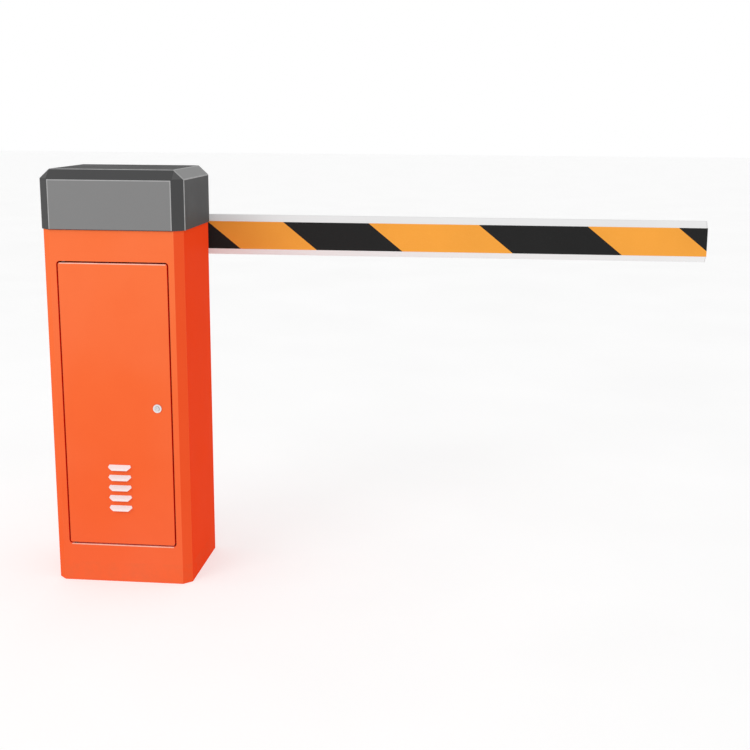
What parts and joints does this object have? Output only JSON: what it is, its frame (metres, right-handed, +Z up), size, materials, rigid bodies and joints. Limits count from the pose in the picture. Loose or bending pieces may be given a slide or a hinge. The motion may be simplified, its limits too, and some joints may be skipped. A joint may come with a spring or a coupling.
{
  "type": "parking barrier gate",
  "caption": "Parking barrier gate: upright sheet-metal cabinet with a bevelled hood, a locking louvred door and a striped boom that swings up behind it.",
  "frame": {"origin": "centre of the anchor bolt pattern, on the ground under the cabinet", "axes": "+X along the closed boom, towards its tip; +Y from the door to the back; +Z up"},
  "size_m": [1.5765, 0.3945, 1],
  "materials": {
    "body_orange": "semi-gloss powder coat",
    "hood_grey": "satin powder coat",
    "panel_grey": "satin powder coat",
    "zinc_steel": "zinc plated",
    "black_steel": "black paint",
    "shaft_steel": "ground",
    "spring_steel": "oiled",
    "cast_grey": "painted casting",
    "gearbox_aluminium": "die cast",
    "boom_white": "white powder coat",
    "cap_white": "moulded",
    "tape_black": "reflective film",
    "tape_orange": "reflective film",
    "louvre_white": "moulded",
    "lock_metal": "polished",
    "rubber_black": "matt",
    "cable_black": "satin",
    "box_grey": "moulded",
    "board_green": "solder resist",
    "nylon_black": "black",
    "bronze": "machined"
  },
  "bodies": {
    "cabinet": {"base_plate": "zinc_steel", "cabinet_shell": "body_orange", "hinge_pins": "zinc_steel", "strike_plate": "zinc_steel", "shaft_seal_plate": "rubber_black", "cover_screws": "zinc_steel", "hood_shell": "hood_grey", "hood_front_panel": "panel_grey", "hood_support_frame": "zinc_steel", "chassis_plate": "zinc_steel", "chassis_bolts": "zinc_steel", "front_bearing_plate": "zinc_steel", "plate_spacers": "zinc_steel", "bearing_housings": "cast_grey", "shaft_bearings": "shaft_steel", "buffer_brackets": "zinc_steel", "end_buffers": "rubber_black", "limit_sensors": "lock_metal", "gearbox_housing": "gearbox_aluminium", "gearbox_cover": "gearbox_aluminium", "motor_can": "black_steel", "control_box": "box_grey", "control_box_lid": "box_grey", "circuit_board": "board_green", "cable_glands": "rubber_black", "motor_cable": "cable_black", "balance_springs": "spring_steel", "spring_bottom_plugs": "zinc_steel", "spring_anchor_bracket": "zinc_steel", "spring_nuts": "zinc_steel"},
    "rotor": {"main_shaft": "shaft_steel", "shaft_keys": "shaft_steel", "rocker_arm": "zinc_steel", "spring_lever": "zinc_steel", "arm_pins": "shaft_steel", "stop_arm": "zinc_steel", "limit_flag": "zinc_steel", "boom_hub": "black_steel", "boom_holder": "black_steel", "clamp_plate": "black_steel", "holder_bolts": "zinc_steel", "boom_tube": "boom_white", "boom_caps": "cap_white", "stripes_black": "tape_black", "stripes_orange": "tape_orange"},
    "crank": {"output_shaft": "shaft_steel", "worm_wheel": "bronze", "crank_arm": "zinc_steel", "crank_pin": "shaft_steel"},
    "connecting_rod": {"connecting_rod": "zinc_steel", "rod_ends": "shaft_steel"},
    "spring_plugs": {"spring_top_plugs": "zinc_steel"},
    "worm": {"worm_shaft": "shaft_steel", "motor_armature": "black_steel"},
    "door": {"door_panel": "body_orange", "door_louvres": "louvre_white", "door_bushes": "nylon_black", "lock_barrel": "lock_metal"},
    "lock": {"lock_plug": "lock_metal", "lock_cam": "zinc_steel"}
  },
  "joints": [
    {"name": "boom_swing", "type": "hinge", "parent": "cabinet", "child": "rotor", "pos_m": [0, 0, 0.8215], "axis": [0, -1, 0], "range_deg": [0, 90], "deforming": ["balance_springs"]},
    {"name": "crank_turn", "type": "hinge", "parent": "cabinet", "child": "crank", "pos_m": [0, 0, 0.4715], "axis": [0, -1, 0], "range_deg": [0, 90]},
    {"name": "rod_hinge", "type": "hinge", "parent": "rotor", "child": "connecting_rod", "pos_m": [0.0495, -0.021, 0.772], "axis": [0, -1, 0], "range_deg": [-90, 0]},
    {"name": "spring_plug_hinge", "type": "hinge", "parent": "rotor", "child": "spring_plugs", "pos_m": [-0.07354, 0.037, 0.89504], "axis": [0, -1, 0], "range_deg": [-90, 0]},
    {"name": "worm_spin", "type": "hinge", "parent": "cabinet", "child": "worm", "pos_m": [0.0593, 0.042, 0.4715], "axis": [0, 0, 1], "range_deg": [0, 2700]},
    {"name": "door_swing", "type": "hinge", "parent": "cabinet", "child": "door", "pos_m": [-0.118, -0.132, 0.441], "axis": [0, 0, -1], "range_deg": [0, 110]},
    {"name": "lock_turn", "type": "hinge", "parent": "door", "child": "lock", "pos_m": [0.0975, -0.14, 0.44], "axis": [0, -1, 0], "range_deg": [0, 90]}
  ],
  "couplings": [
    {"joint": "crank_turn", "follows": "boom_swing", "ratio": 1},
    {"joint": "rod_hinge", "follows": "boom_swing", "ratio": -1},
    {"joint": "spring_plug_hinge", "follows": "boom_swing", "ratio": -1},
    {"joint": "worm_spin", "follows": "boom_swing", "ratio": 30}
  ]
}
